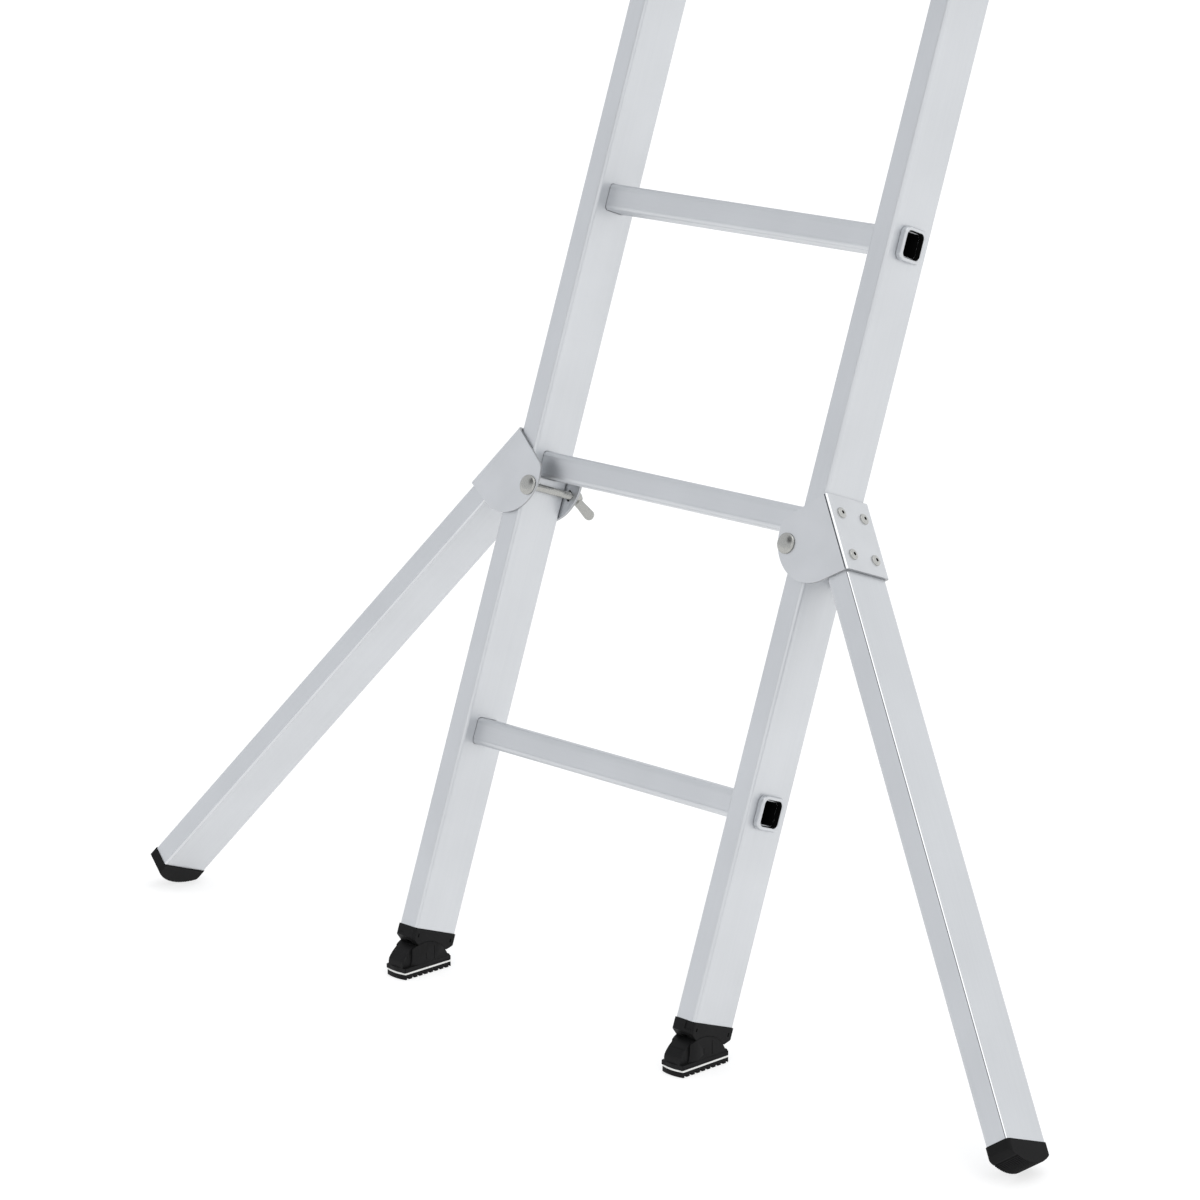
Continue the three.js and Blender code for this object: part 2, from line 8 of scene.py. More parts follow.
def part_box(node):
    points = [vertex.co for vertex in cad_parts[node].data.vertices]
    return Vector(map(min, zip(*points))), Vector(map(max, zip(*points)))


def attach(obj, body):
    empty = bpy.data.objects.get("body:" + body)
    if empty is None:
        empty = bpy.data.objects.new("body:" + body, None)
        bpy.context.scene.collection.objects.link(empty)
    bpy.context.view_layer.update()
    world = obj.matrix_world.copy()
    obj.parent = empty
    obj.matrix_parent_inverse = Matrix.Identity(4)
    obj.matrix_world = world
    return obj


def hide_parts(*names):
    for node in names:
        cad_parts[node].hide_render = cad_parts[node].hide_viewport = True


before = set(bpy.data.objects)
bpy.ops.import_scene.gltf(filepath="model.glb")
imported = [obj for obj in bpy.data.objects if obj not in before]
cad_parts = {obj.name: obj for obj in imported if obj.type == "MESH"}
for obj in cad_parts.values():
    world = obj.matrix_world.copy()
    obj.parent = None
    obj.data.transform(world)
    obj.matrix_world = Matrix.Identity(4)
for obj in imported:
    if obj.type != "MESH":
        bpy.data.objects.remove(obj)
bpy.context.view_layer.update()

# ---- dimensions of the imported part, in millimetres ---------------------------------------
MM = 0.001
LEAN = math.radians(20)
SPLAY = math.radians(36.6)
GAP = 0.3
HALF = 210.0
STILE_X, STILE_Y, WALL, STILE_R = 25.0, 58.0, 1.8, 3.4
STILE_IN = HALF - STILE_X
STILE_MID = HALF - STILE_X / 2
RUNG_MID = STILE_Y / 2
RUNG_Y, RUNG_Z, RUNG_R, PITCH, RUNGS = 29.3, 27.5, 4.5, 280.0, 7
BASE_LOW, BASE_HIGH = -210.0, 1810.0
FLY_FRONT, FLY_LOW, FLY_HIGH, FLY_FIRST = -64.0, 990.0, 2930.0, 1120.0
LEG_IN, LEG_LOW, LEG_CLEAR_X = 328.0, -533.3, 217.8
SHEET = 3.0
BRACKET_LOW, BRACKET_HIGH = 41.0, 122.9
LOBE = (327.0, 88.0, 43.5)
BOLT_N, BOLT_U = 295.8, 98.2
RIVET_U, RIVET_DU, RIVET_DY = 81.0, 22.5, 17.0
SHOE_Y, SHOE_Z, SHOE_R, SHOE_HEIGHT = 28.5, -254.7, 34.0, 0.4
SOLE_X, SOLE_FRONT, SOLE_BACK, TREAD, PLATE = 28.0, -30.0, 34.5, 5.0, 1.8
GUIDE_IN, GUIDE_LIP = 217.5, 194.0
LOCK_IN, LOCK_OUT, LOCK_Y, LOCK_RISE = 176.3, 184.3, -30.0, 45.0
SIDES = (("right", 1), ("left", -1))

# ---- details of the visual model, in millimetres and degrees -----------------------------
AXIS = 0.001  # where a turned profile starts and ends, just off its axis
SEAM = 0.25  # rounding of the tubes' cut edges
PLUG_SLACK, PLUG_R = 0.6, 1.4  # a plug inside a stile's bore
LIP = 2.0  # how much wider a cap or socket is than its stile
BORE_Y, BORE_Z = 12.4, 13.2  # half sizes that hold the rung's bore and the collar's throat
PIN_HOLE = 4.3
LEG_CORNER = 2.2
RIVET_HEAD, RIVET_HOLE = 11.5, 1.75
RIVET_RISE, GUIDE_RIVET_RISE = 1.9, 2.6
BEND_R, BEND_INNER_R = 4.0, 1.2
CAP = {"proud": 1.3, "wall": 10.2, "sag": 12.3, "ribbed": 30.0, "ribs": 21, "depth": 0.75,
       "land": 2.4}
BOLT = {"head": 10.35, "rise": 4.0, "edge": 0.5, "shank": 4.0, "root": 3.45, "pitch": 1.25}
THREAD_LOW, THREAD_TURNS, BOLT_END = 46.0, 23, 76.0
NUT = {"length": 9.0, "tip": 20.5, "tip_r": 5.5, "half": 4.5, "sheet": 1.6, "out": 3.0, "up": 4.0}
NUT_TILT, NUT_TURN = math.radians(40), math.radians(-48)
WASHER_R, WASHER_LOW, WASHER_HIGH = 8.4, 0.05, 1.65
SOCKET_LOW, SOCKET_PLUG = -227.0, 30.0
TONGUE_IN, TONGUE_OUT, TONGUE_HALF = 22.0, 41.5, 3.5
SHOE_PIN_R, SHOE_PIN_RADIUS, SHOE_PIN_HALF = 38.0, 2.0, 9.0
CHEEK, NOSE, FLANGE = 13.7, 10.5, 4.5
TEETH, TOOTH_DEPTH = 9, 2.6

# ---- the studio and the view -------------------------------------------------------------
WALL_COLOUR = (0.85, 0.865, 0.89, 1)
PATCHES = (  # direction, full and outer spread in degrees, colour
    ((0.85, 0.45, 0.10), (20, 120), (1.0, 1.01, 1.02)),
    ((0.35, -0.93, 0.30), (4, 20), (1.2, 1.2, 1.2)),
    ((0.39, -0.10, 0.91), (14, 26), (1.9, 1.9, 1.9)),
    ((-0.15, -0.73, 0.67), (12, 20), (0.03, 0.032, 0.035)),
)
FLOOR_WHITE, FLOOR_GLOW, FLOOR_SIZE = 0.42, 0.68, 60
SENSOR, FOCAL = 36.0, 128.919
SHIFT_X, SHIFT_Y = 0.0438, 0.0654
EYE = (3114.75 - HALF, -3092.56, 163.37)
VIEW_RIGHT, VIEW_DOWN = (0.6936, 0.6788, 0.2413), (0.1880, 0.1528, -0.9702)
VIEW_AHEAD = (-0.6954, 0.7183, -0.0216)


# ---- places ------------------------------------------------------------------------------
def ladder_place():
    """The ladder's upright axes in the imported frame, found from the lowest base rung."""
    low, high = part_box("base_rung_1")
    turn = Matrix.Rotation(-LEAN, 4, "X")
    return Matrix.Translation((low + high) / 2 - turn @ Vector((0, RUNG_MID * MM, 0))) @ turn


LADDER = ladder_place()


def leg_place(side):
    """An outrigger leg's axes: X across the leg, Y as the ladder's, Z up the leg."""
    return LADDER @ Matrix.Rotation(-side * SPLAY, 4, "Y")


def shoe_place():
    """A shoe's axes: origin on its rocking axis, Y level to the back, Z straight up."""
    spot = Matrix.Translation((0, SHOE_Y * MM, SHOE_Z * MM))
    return LADDER @ spot @ Matrix.Rotation(LEAN, 4, "X")


# ---- outlines ----------------------------------------------------------------------------
def arc(cx, cy, radius, start, end, steps):
    """Points along an arc, in degrees, both ends included."""
    spots = []
    for i in range(steps + 1):
        a = math.radians(start + (end - start) * i / steps)
        spots.append((cx + radius * math.cos(a), cy + radius * math.sin(a)))
    return spots


def rounded(width, height, radius, cx=0.0, cy=0.0, steps=6):
    """A rectangle with rounded corners."""
    x, y = width / 2 - radius, height / 2 - radius
    spots = []
    for sx, sy, start in ((1, 1, 0), (-1, 1, 90), (-1, -1, 180), (1, -1, 270)):
        spots += arc(cx + sx * x, cy + sy * y, radius, start, start + 90, steps)
    return spots


def box_outline(x0, x1, y0, y1):
    """A plain rectangle."""
    return [(x0, y0), (x1, y0), (x1, y1), (x0, y1)]


# ---- solids ------------------------------------------------------------------------------
def spot_on(axis, a, b, along):
    """A point from its two coordinates across an axis and its distance along it."""
    if axis == "x":
        return Vector((along, a, b))
    if axis == "y":
        return Vector((a, along, b))
    return Vector((a, b, along))


def add_loft(bm, rings, loop=False):
    """Skins rings of equal length; the ends are closed unless the rings run in a loop."""
    made = [[bm.verts.new(p) for p in ring] for ring in rings]
    count = len(made[0])
    pairs = list(zip(made, made[1:]))
    if loop:
        pairs.append((made[-1], made[0]))
    for a, b in pairs:
        for i in range(count):
            j = (i + 1) % count
            bm.faces.new((a[i], a[j], b[j], b[i]))
    if not loop:
        bm.faces.new(made[0][::-1])
        bm.faces.new(made[-1])


def add_prism(bm, axis, outline, low, high):
    """Add a closed prism to a mesh, from an outline across its axis."""
    add_loft(bm, [[spot_on(axis, a, b, d) for a, b in outline] for d in (low, high)])


def add_turned(bm, axis, profile, at, steps=32):
    """A turned solid: profile is (radius, distance along the axis), from pole to pole."""
    rings = []
    for radius, along in profile:
        ring = []
        for i in range(steps):
            a = 2 * math.pi * i / steps
            spot = spot_on(axis, radius * math.cos(a), radius * math.sin(a), along)
            ring.append(Vector(at) + spot)
        rings.append(ring)
    add_loft(bm, rings)


def solid(bm, turn=None):
    """A mesh object in millimetres from a bmesh, with its faces turned outwards."""
    if turn:
        bmesh.ops.transform(bm, matrix=turn, verts=bm.verts)
    bmesh.ops.recalc_face_normals(bm, faces=bm.faces)
    mesh = bpy.data.meshes.new("solid")
    bm.to_mesh(mesh)
    bm.free()
    made = bpy.data.objects.new("solid", mesh)
    bpy.context.scene.collection.objects.link(made)
    return made


def prism(axis, outline, low, high, turn=None):
    """A prism as an object."""
    bm = bmesh.new()
    add_prism(bm, axis, outline, low, high)
    return solid(bm, turn)


def turned(axis, profile, at=(0, 0, 0), steps=32):
    """A profile of radii and distances, turned about an axis."""
    bm = bmesh.new()
    add_turned(bm, axis, profile, at, steps)
    return solid(bm)


def rod(axis, radius, low, high, at=(0, 0, 0), steps=24):
    """A round bar."""
    profile = [(AXIS, low), (radius, low), (radius, high), (AXIS, high)]
    return turned(axis, profile, at, steps)


def freeze(piece):
    """Applies the piece's modifiers to its mesh."""
    graph = bpy.context.evaluated_depsgraph_get()
    made = bpy.data.meshes.new_from_object(piece.evaluated_get(graph))
    old = piece.data
    piece.modifiers.clear()
    piece.data = made
    bpy.data.meshes.remove(old)


def combine(piece, tool, operation):
    """One boolean step, which uses up the tool."""
    change = piece.modifiers.new("combine", "BOOLEAN")
    change.operation = operation
    change.solver = "EXACT"
    change.object = tool
    bpy.context.view_layer.update()
    freeze(piece)
    mesh = tool.data
    bpy.data.objects.remove(tool)
    bpy.data.meshes.remove(mesh)
    return piece


def cut(piece, tool):
    """Take the tool away from the body."""
    return combine(piece, tool, "DIFFERENCE")


def join(piece, tool):
    """Add the tool to the body."""
    return combine(piece, tool, "UNION")


def keep(piece, tool):
    """Leave only what the body and the tool share."""
    return combine(piece, tool, "INTERSECT")


def shade(piece):
    """Shades smooth between the sharp edges, flat faces staying flat."""
    weighted = piece.modifiers.new("shading", "WEIGHTED_NORMAL")
    weighted.weight = 100
    weighted.keep_sharp = True
    freeze(piece)


def mirror(piece):
    """Turns a right-hand piece into the left-hand one, with its shading worked out afresh."""
    bm = bmesh.new()
    bm.from_mesh(piece.data)
    bmesh.ops.scale(bm, vec=(-1, 1, 1), verts=bm.verts)
    bmesh.ops.reverse_faces(bm, faces=bm.faces)
    bm.to_mesh(piece.data)
    bm.free()
    custom = piece.data.attributes.get("custom_normal")
    if custom:
        piece.data.attributes.remove(custom)
    shade(piece)


def soften(piece, width, segments=2, angle=38):
    """Rounds the sharp edges and shades the rest smooth, flat faces staying flat."""
    if width:
        bevel = piece.modifiers.new("edges", "BEVEL")
        bevel.width = width
        bevel.segments = segments
        bevel.limit_method = "ANGLE"
        bevel.angle_limit = math.radians(angle)
        bevel.use_clamp_overlap = True
        bevel.miter_outer = "MITER_ARC"
        freeze(piece)
    mesh = piece.data
    mesh.polygons.foreach_set("use_smooth", [True] * len(mesh.polygons))
    mesh.set_sharp_from_angle(angle=math.radians(angle))
    shade(piece)


def settle(piece, name, body, place, material, replaces=(), side=1):
    """Names a piece, puts it in its place in metres, and gives it its body and material."""
    if side < 0:
        mirror(piece)
    piece.data.transform(Matrix.Scale(MM, 4))
    piece.name = name
    piece.data.name = name
    piece.matrix_world = place
    if not piece.data.materials:
        piece.data.materials.append(material)
    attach(piece, body)
    if replaces:
        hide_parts(*replaces)
    return piece


# ---- materials ---------------------------------------------------------------------------
def shader(name, colour, metallic, roughness):
    """A material, its nodes and links, and its main shader node."""
    material = bpy.data.materials.new(name)
    material.use_nodes = True
    nodes = material.node_tree.nodes
    main = nodes["Principled BSDF"]
    main.inputs["Base Color"].default_value = (*colour, 1)
    main.inputs["Metallic"].default_value = metallic
    main.inputs["Roughness"].default_value = roughness
    return material, nodes, material.node_tree.links, main


def noise(nodes, links, scale, detail, stretch=(1, 1, 1)):
    """Noise in the piece's own metres, drawn out along an axis by a small stretch value."""
    where = nodes.new("ShaderNodeTexCoord")
    mapping = nodes.new("ShaderNodeMapping")
    mapping.inputs["Scale"].default_value = stretch
    texture = nodes.new("ShaderNodeTexNoise")
    texture.inputs["Scale"].default_value = scale
    texture.inputs["Detail"].default_value = detail
    links.new(where.outputs["Object"], mapping.inputs["Vector"])
    links.new(mapping.outputs["Vector"], texture.inputs["Vector"])
    return texture.outputs["Fac"]


def ramp(nodes, links, value, low, high):
    """Turns noise from 0 to 1 into a number from low to high."""
    spread = nodes.new("ShaderNodeMapRange")
    spread.inputs["From Min"].default_value = 0.3
    spread.inputs["From Max"].default_value = 0.7
    spread.inputs["To Min"].default_value = low
    spread.inputs["To Max"].default_value = high
    links.new(value, spread.inputs["Value"])
    return spread.outputs["Result"]


def tint(nodes, links, value, dark, light, main):
    mix = nodes.new("ShaderNodeMix")
    mix.data_type = "RGBA"
    mix.inputs["A"].default_value = (*dark, 1)
    mix.inputs["B"].default_value = (*light, 1)
    links.new(ramp(nodes, links, value, 0, 1), mix.inputs["Factor"])
    links.new(mix.outputs["Result"], main.inputs["Base Color"])


def bump(nodes, links, height, strength, distance, main):
    relief = nodes.new("ShaderNodeBump")
    relief.inputs["Strength"].default_value = strength
    relief.inputs["Distance"].default_value = distance
    links.new(height, relief.inputs["Height"])
    links.new(relief.outputs["Normal"], main.inputs["Normal"])


def extruded_aluminium(name, stretch, tone=1.0):
    """Satin extrusion: faint die lines along its length and a soft change of tone."""
    light = tuple(tone * c for c in (0.66, 0.675, 0.695))
    dark = tuple(0.94 * c for c in light)
    material, nodes, links, main = shader(name, light, 0.92, 0.4)
    lines = noise(nodes, links, 420, 3, stretch)
    cloud = noise(nodes, links, 9, 2)
    tint(nodes, links, cloud, dark, light, main)
    links.new(ramp(nodes, links, lines, 0.36, 0.46), main.inputs["Roughness"])
    bump(nodes, links, lines, 0.10, 0.0002, main)
    return material


def bent_sheet(name, rough, tone=1.0):
    """Rolled sheet; along a bend the stretched skin is brighter and smoother."""
    material, nodes, links, main = shader(name, (0.68, 0.69, 0.70), 0.95, rough)
    grain = noise(nodes, links, 900, 4, (1, 1, 0.12))
    cloud = noise(nodes, links, 22, 2)
    shades = ((0.63, 0.642, 0.658), (0.67, 0.682, 0.70))
    # A tone below 1 darkens the colour; the sheared edges use this as painted shade.
    dark, light = (tuple(tone * c for c in shade) for shade in shades)
    tint(nodes, links, cloud, dark, light, main)
    links.new(ramp(nodes, links, grain, rough - 0.04, rough + 0.05), main.inputs["Roughness"])
    bump(nodes, links, grain, 0.08, 0.0001, main)
    return material


def plated_steel(name, dark, light, rough):
    """Zinc plating: a fine mottle and tiny pits."""
    material, nodes, links, main = shader(name, light, 0.95, rough)
    mottle = noise(nodes, links, 260, 4)
    pits = noise(nodes, links, 1400, 2)
    tint(nodes, links, mottle, dark, light, main)
    links.new(ramp(nodes, links, mottle, rough - 0.04, rough + 0.06), main.inputs["Roughness"])
    bump(nodes, links, pits, 0.05, 0.0001, main)
    return material


def moulded(name, dark, light, rough, grain_scale, depth):
    """Moulded plastic or rubber: spark-eroded grain and a slightly uneven sheen."""
    material, nodes, links, main = shader(name, light, 0.0, rough)
    main.inputs["Specular IOR Level"].default_value = 0.1
    grain = noise(nodes, links, grain_scale, 3)
    cloud = noise(nodes, links, 60, 3)
    tint(nodes, links, cloud, dark, light, main)
    links.new(ramp(nodes, links, cloud, rough - 0.06, rough + 0.06), main.inputs["Roughness"])
    bump(nodes, links, grain, 0.35, depth, main)
    return material


ALONG_Z = (1, 1, 0.012)
ALONG_X = (0.012, 1, 1)
STILE_METAL = extruded_aluminium("stile_aluminium", ALONG_Z)
RUNG_METAL = extruded_aluminium("rung_aluminium", ALONG_X, 0.98)
SHEET_METAL = bent_sheet("sheet_aluminium", 0.33)
BEND_METAL = bent_sheet("burnished_bend", 0.1)
# The sheared edges' darker tone is painted shade and dark reflection; their higher roughness is
# real.
EDGE_SHADE_METAL = bent_sheet("sheared_edge_painted_shade", 0.38, 0.62)
STEEL = plated_steel("zinc_steel", (0.40, 0.40, 0.385), (0.44, 0.44, 0.42), 0.26)
RIVET_STEEL = plated_steel("rivet_steel", (0.46, 0.46, 0.445), (0.54, 0.54, 0.52), 0.22)
LOCK_STEEL = plated_steel("lock_steel", (0.40, 0.41, 0.42), (0.48, 0.49, 0.50), 0.3)
BLACK_PLASTIC = moulded("black_plastic", (0.007, 0.007, 0.0072), (0.011, 0.011, 0.0114),
                        0.5, 1500, 0.00012)
BLACK_RUBBER = moulded("black_rubber", (0.006, 0.006, 0.0062), (0.010, 0.010, 0.0103),
                       0.62, 1100, 0.0002)
WEAR_WHITE = moulded("wear_white", (0.72, 0.72, 0.70), (0.82, 0.82, 0.80), 0.5, 1200, 0.0001)
# Near-black painted shade for the insides of rung bores and rivet holes.
PAINTED_HOLE_SHADE = moulded("painted_hole_shade", (0.0015, 0.0015, 0.0015), (0.003, 0.003, 0.003), 0.9, 500, 0.0001)


# ---- stiles ------------------------------------------------------------------------------
def box_tube(cx, cy, low, high, radius=STILE_R):
    """A length of the stile's section, hollow and open at both ends."""
    outer = rounded(STILE_X, STILE_Y, radius, cx, cy)
    inner = rounded(STILE_X - 2 * WALL, STILE_Y - 2 * WALL, radius - WALL, cx, cy)
    rings = []
    for outline, height in ((outer, low), (outer, high), (inner, high), (inner, low)):
        rings.append([Vector((x, y, height)) for x, y in outline])
    bm = bmesh.new()
    add_loft(bm, rings, loop=True)
    return solid(bm)


def plug_outline(cx, cy):
    """What fits inside a stile's bore."""
    inset = 2 * WALL + PLUG_SLACK
    return rounded(STILE_X - inset, STILE_Y - inset, PLUG_R, cx, cy, 3)


def stile(front, low, high, first):
    """A stile with the windows for its rungs."""
    tube = box_tube(STILE_MID, front + RUNG_MID, low, high)
    bm = bmesh.new()
    hole = rounded(RUNG_Y + 2 * GAP, RUNG_Z + 2 * GAP, RUNG_R, front + RUNG_MID, 0, 4)
    for i in range(RUNGS):
        z = first + i * PITCH
        add_prism(bm, "x", [(a, b + z) for a, b in hole], STILE_IN - 2, HALF + 2)
    return cut(tube, solid(bm))


def make_stiles():
    """The four stiles, on both sections."""
    for section, front, low, high, first in (
        ("base", 0.0, BASE_LOW, BASE_HIGH, 0.0),
        ("fly", FLY_FRONT, FLY_LOW, FLY_HIGH, FLY_FIRST),
    ):
        for word, side in SIDES:
            body = stile(front, low, high, first)
            if section == "fly":
                at = (0, LOCK_Y, first + LOCK_RISE)
                cut(body, rod("x", PIN_HOLE, STILE_IN - 1, STILE_IN + WALL + 1, at))
            soften(body, SEAM)
            node = f"{section}_stile_{word}"
            settle(body, f"{node}_extrusion", section, LADDER, STILE_METAL, [node],
                   side)


# ---- rungs -------------------------------------------------------------------------------
def fluted_outline():
    """The rung's section: grip flutes on its top and bottom, one groove near each edge."""
    half_y, half_z = RUNG_Y / 2, RUNG_Z / 2
    flutes, depth, points_each = 7, 0.55, 6
    reach = half_y - RUNG_R
    top = []
    steps = flutes * points_each
    for i in range(steps + 1):
        share = i / steps
        dip = depth * (0.5 - 0.5 * math.cos(2 * math.pi * flutes * share))
        top.append((reach - 2 * reach * share, half_z - dip))
    side = []
    for z in (half_z - RUNG_R - 0.6, half_z - RUNG_R - 1.0, half_z - RUNG_R - 1.4):
        groove = 0.35 if abs(z - (half_z - RUNG_R - 1.0)) < 0.1 else 0.0
        side.append((half_y - groove, z))
    corner_arc = arc(reach, half_z - RUNG_R, RUNG_R, 0, 90, 6)[:-1]
    quarter_side = side[::-1]
    lower_side = [(y, -z) for y, z in side]
    right = lower_side + quarter_side + corner_arc
    left_corner = [(-y, z) for y, z in corner_arc][::-1]
    left = [(-y, z) for y, z in (lower_side + quarter_side)][::-1]
    bottom_left = [(-y, -z) for y, z in corner_arc]
    bottom = [(-y, -z) for y, z in top]
    bottom_right = [(y, -z) for y, z in corner_arc][::-1]
    return right + top + left_corner + left + bottom_left + bottom + bottom_right


def collar_rings(side):
    """The end pressed out over the stile's outer face, round a bore whose inside is painted
    near-black as shade.
    """
    stages = (  # distance from the middle, width, height, corner radius
        (HALF - 6.0, 29.2, 27.4, 4.4), (HALF + 0.15, 29.2, 27.4, 4.4),
        (HALF + 0.25, 32.6, 33.2, 7.4),
        (HALF + 1.4, 33.6, 34.1, 7.8), (HALF + 3.6, 34.0, 34.5, 8.0), (HALF + 5.0, 33.4, 33.9, 7.7),
        (HALF + 6.0, 32.2, 32.7, 7.2), (HALF + 6.5, 30.6, 31.2, 6.6), (HALF + 6.4, 27.0, 28.2, 5.6),
        (HALF + 5.9, 25.0, 26.4, 5.0), (HALF + 4.6, 24.0, 25.4, 4.6), (HALF - 6.0, 23.8, 25.2, 4.5),
    )
    rings = []
    for x, width, height, radius in stages:
        rings.append([Vector((side * x, a, b)) for a, b in rounded(width, height, radius, steps=8)])
    return rings


def rung():
    """One rung about its centre: fluted tube, open bore and a collar at each end."""
    bore = rounded(23.6, 23.4, 3.2, steps=4)
    body = prism("x", fluted_outline(), -HALF - 0.1, HALF + 0.1)
    cut(body, prism("x", bore, -HALF - 2, HALF + 2))
    bm = bmesh.new()
    for side in (1, -1):
        add_loft(bm, collar_rings(side), loop=True)
    join_islands(body, solid(bm))
    soften(body, 0, angle=50)
    # The bore's inner faces are painted near-black as shade.
    paint_bore_shade(body)
    return body


def join_islands(piece, other):
    """Adds another mesh to a piece as separate closed bodies."""
    bm = bmesh.new()
    bm.from_mesh(piece.data)
    bm.from_mesh(other.data)
    bm.to_mesh(piece.data)
    bm.free()
    mesh = other.data
    bpy.data.objects.remove(other)
    bpy.data.meshes.remove(mesh)


def paint_bore_shade(piece):
    """The bore's own faces, which look inwards, take a near-black material as painted shade."""
    piece.data.materials.append(RUNG_METAL)
    piece.data.materials.append(PAINTED_HOLE_SHADE)
    for face in piece.data.polygons:
        x, y, z = face.center
        inward = face.normal.y * y + face.normal.z * z < -0.2 * math.hypot(y, z)
        deep = abs(x) < HALF + 5.3 and abs(y) < BORE_Y and abs(z) < BORE_Z
        if inward and deep:
            face.material_index = 1


def make_rungs():
    """The seven rungs of each section."""
    for section, front, first in (("base", 0.0, 0.0), ("fly", FLY_FRONT, FLY_FIRST)):
        for i in range(RUNGS):
            node = f"{section}_rung_{i + 1}"
            spot = Matrix.Translation((0, (front + RUNG_MID) * MM, (first + i * PITCH) * MM))
            settle(rung(), f"{node}_tube", section, LADDER @ spot, RUNG_METAL, [node])


# ---- end caps ----------------------------------------------------------------------------
def end_cap(front, end, up):
    """A moulded plug with a pillowed lip; up is 1 at a stile's top and -1 at its foot."""
    cx, cy = STILE_MID, front + RUNG_MID
    lip = []
    for rise, shrink in ((GAP, 0.0), (3.2, 0.0), (4.2, 0.5), (4.8, 1.6), (5.0, 4.0)):
        wider = LIP - 2 * shrink
        lip.append((end + up * rise, STILE_X + wider, STILE_Y + wider, 4.4))
    rings = []
    for height, width, depth, radius in lip:
        radius = min(radius, width / 2 - 1)
        rings.append([Vector((x, y, height)) for x, y in rounded(width, depth, radius, cx, cy, 6)])
    bm = bmesh.new()
    add_loft(bm, rings)
    cap = solid(bm)
    low, high = sorted((end - up * 26, end + up * 1))
    join(cap, prism("z", plug_outline(cx, cy), low, high))
    soften(cap, 0.3, angle=50)
    return cap


def make_caps():
    """The caps on the stile ends."""
    for node, front, end, up, section in (
        ("base_top_cap", 0.0, BASE_HIGH, 1, "base"),
        ("fly_top_cap", FLY_FRONT, FLY_HIGH, 1, "fly"),
        ("fly_bottom_cap", FLY_FRONT, FLY_LOW, -1, "fly"),
    ):
        for word, side in SIDES:
            name = f"{node}_{word}"
            settle(end_cap(front, end, up), f"{name}_moulding", section, LADDER, BLACK_PLASTIC,
                   [name], side)


# ---- guides ------------------------------------------------------------------------------
def dome(head, rise, axis="x", seat=0.0, at=(0, 0, 0), steps=28):
    """A blind rivet's head with the hole left by its mandrel."""
    r, brim, throat = head / 2, 0.6, RIVET_HOLE + 0.25
    crown = 0.97 * r
    profile = [(AXIS, seat - 1.0), (r - 0.2, seat - 1.0), (r, seat + 0.15), (crown, seat + brim)]
    for i in range(1, 6):
        a = math.radians(90 * i / 6)
        out = crown * math.cos(a) + 1.5 * (1 - math.cos(a))
        profile.append((out, seat + brim + (rise - brim) * math.sin(a)))
    profile += [(throat, seat + rise), (RIVET_HOLE + 0.05, seat + rise - 0.15)]
    profile += [(RIVET_HOLE, seat + 0.5), (AXIS, seat + 0.45)]
    return turned(axis, profile, at, steps)


def paint_hole_shade(piece, axis, seat, metal, at):
    """The hole in a rivet's head takes a near-black material as painted shade."""
    piece.data.materials.append(metal)
    piece.data.materials.append(PAINTED_HOLE_SHADE)
    across = {"x": (1, 2), "y": (0, 2)}[axis]
    along = {"x": 0, "y": 1}[axis]
    for face in piece.data.polygons:
        off = math.hypot(*(face.center[k] - at[k] for k in across))
        if off < RIVET_HOLE + 0.05 and (face.center[along] - seat) > 0.3:
            face.material_index = 1


def guide(front, back, far, low, high):
    """A bent plate held off its stile by a spacer, its lip wrapping the other section."""
    to_far = 1 if far > front else -1
    near_lip = far + to_far * 0.8
    far_lip = near_lip + to_far * SHEET
    out = GUIDE_IN + SHEET
    start = back - 5 if to_far < 0 else front + 5
    bend = arc(out - 5, far_lip - to_far * 5, 5, 0, to_far * 90, 8)
    inner = arc(GUIDE_IN - 2, near_lip - to_far * 2, 2, to_far * 90, 0, 6)
    section = [(out, start), *bend, (GUIDE_LIP, far_lip), (GUIDE_LIP, near_lip)]
    section += [*inner, (GUIDE_IN, start)]
    plate = prism("z", section, low, high)
    soften(plate, 0.5)
    middle = ((GUIDE_IN + HALF + GAP) / 2, (front + back) / 2)
    block = rounded(GUIDE_IN - HALF - GAP, back - front - 10, 2, *middle, 4)
    spacer = prism("z", block, low + 1, high - 1)
    soften(spacer, 0.3)
    join_islands(plate, spacer)
    return plate


def make_guides():
    """The guides that hold the sections together, with their rivets."""
    jobs = (
        ("base_guide", "base", 0.0, STILE_Y, FLY_FRONT, BASE_HIGH - 105, BASE_HIGH - 60),
        ("fly_guide", "fly", FLY_FRONT, FLY_FRONT + STILE_Y, STILE_Y, FLY_LOW + 10, FLY_LOW + 55),
    )
    for node, section, front, back, far, low, high in jobs:
        for word, side in SIDES:
            name = f"{node}_{word}"
            plate = guide(front, back, far, low, high)
            settle(plate, f"{name}_plate", section, LADDER, SHEET_METAL,
                   [name], side)
            for k, dy in enumerate((-13, 13)):
                at = (0, (front + back) / 2 + dy, (low + high) / 2)
                seat = GUIDE_IN + SHEET
                head = dome(RIVET_HEAD, GUIDE_RIVET_RISE, "x", seat, at)
                soften(head, 0, angle=40)
                # The rivet's hole is painted near-black as shade.
                paint_hole_shade(head, "x", seat, RIVET_STEEL, at)
                settle(head, f"{name}_rivet_{k + 1}", section, LADDER, RIVET_STEEL, (),
                       side)


